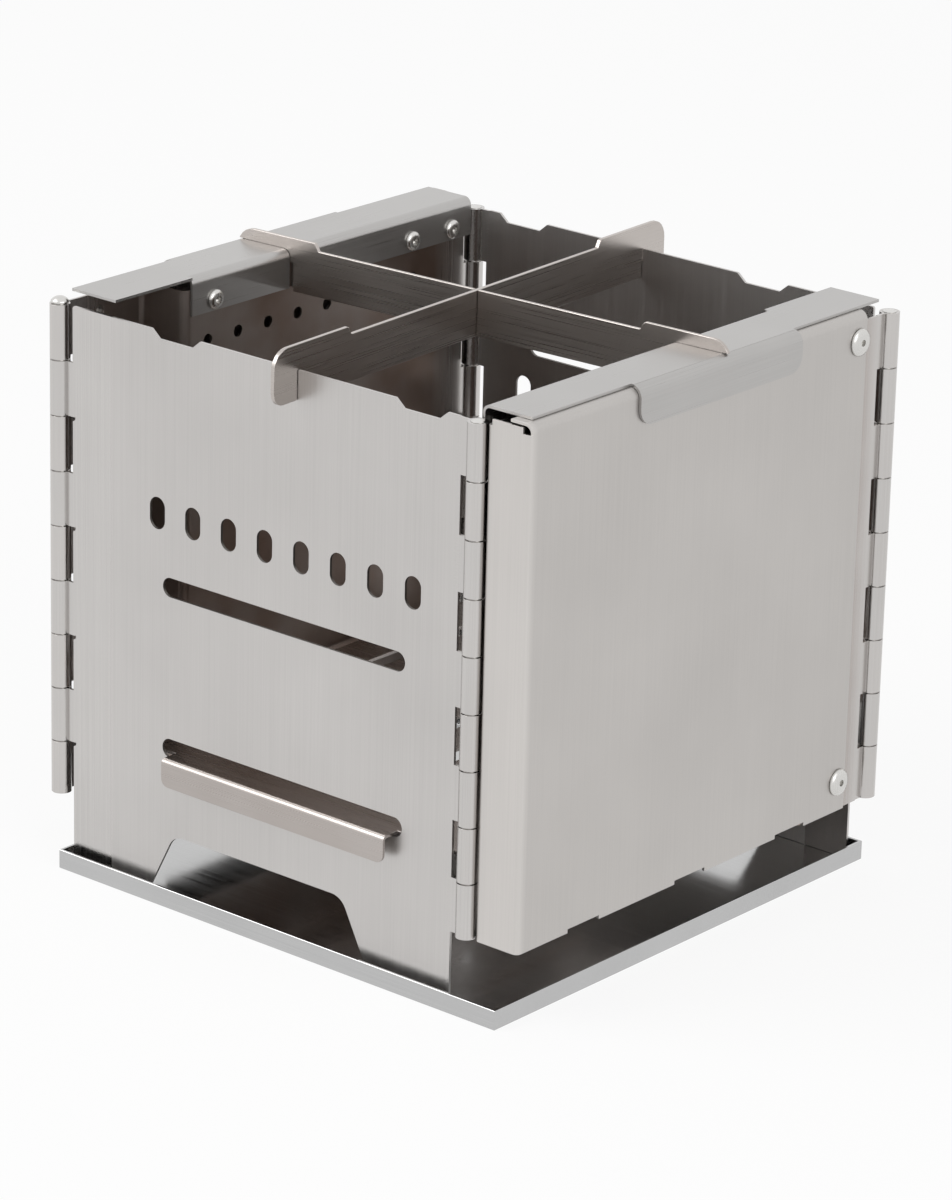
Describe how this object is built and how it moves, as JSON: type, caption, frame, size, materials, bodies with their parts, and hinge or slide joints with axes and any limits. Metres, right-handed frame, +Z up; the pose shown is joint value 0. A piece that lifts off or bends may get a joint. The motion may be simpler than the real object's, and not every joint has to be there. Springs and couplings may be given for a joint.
{
  "type": "folding camping wood stove",
  "caption": "Box-shaped folding wood stove of hinged steel sheet walls standing in a shallow tray, with a grate and a crossed pot rest.",
  "frame": {"origin": "middle of the tray's underside", "axes": "+Z up, the front wall with the air holes faces -Y, +X to its right"},
  "size_m": [0.2162, 0.2198, 0.2158],
  "materials": {
    "wall_steel": "brushed, satin",
    "liner_steel": "brushed, heat tinted",
    "shell_steel": "brushed, satin",
    "cap_steel": "brushed, satin",
    "grate_steel": "brushed, heat tinted",
    "bar_steel": "brushed, slightly heat tinted",
    "tray_steel": "mirror rolled",
    "rivet_steel": "bright",
    "pin_steel": "bright"
  },
  "bodies": {
    "tray": {"ash_tray": "tray_steel"},
    "walls": {"front_wall": "wall_steel", "back_wall": "wall_steel", "right_liner": "liner_steel", "left_liner": "liner_steel", "right_shell": "shell_steel", "left_shell": "shell_steel", "right_top_cap": "cap_steel", "left_top_cap": "cap_steel", "front_right_hinge_pin": "pin_steel", "back_right_hinge_pin": "pin_steel", "back_left_hinge_pin": "pin_steel", "right_shell_rivets": "rivet_steel", "left_shell_rivets": "rivet_steel", "right_cap_rivets": "rivet_steel", "left_cap_rivets": "rivet_steel"},
    "grate": {"fire_grate": "grate_steel"},
    "lower_bar": {"cross_bar_lower": "bar_steel"},
    "upper_bar": {"cross_bar_upper": "bar_steel"},
    "loose_pin": {"loose_hinge_pin": "pin_steel"}
  },
  "joints": [
    {"name": "walls_lift", "type": "slide", "parent": "tray", "child": "walls", "axis": [0, 0, 1], "range_m": [0, 0.04]},
    {"name": "cross_lift", "type": "slide", "parent": "walls", "child": "lower_bar", "axis": [0, 0, 1], "range_m": [0, 0.03]},
    {"name": "upper_bar_lift", "type": "slide", "parent": "lower_bar", "child": "upper_bar", "axis": [0, 0, 1], "range_m": [0, 0.03]},
    {"name": "grate_rattle", "type": "slide", "parent": "walls", "child": "grate", "axis": [0, 0, 1], "range_m": [0, 0.0045]},
    {"name": "loose_pin_pull", "type": "slide", "parent": "walls", "child": "loose_pin", "axis": [0, 0, 1], "range_m": [0, 0.185]}
  ]
}
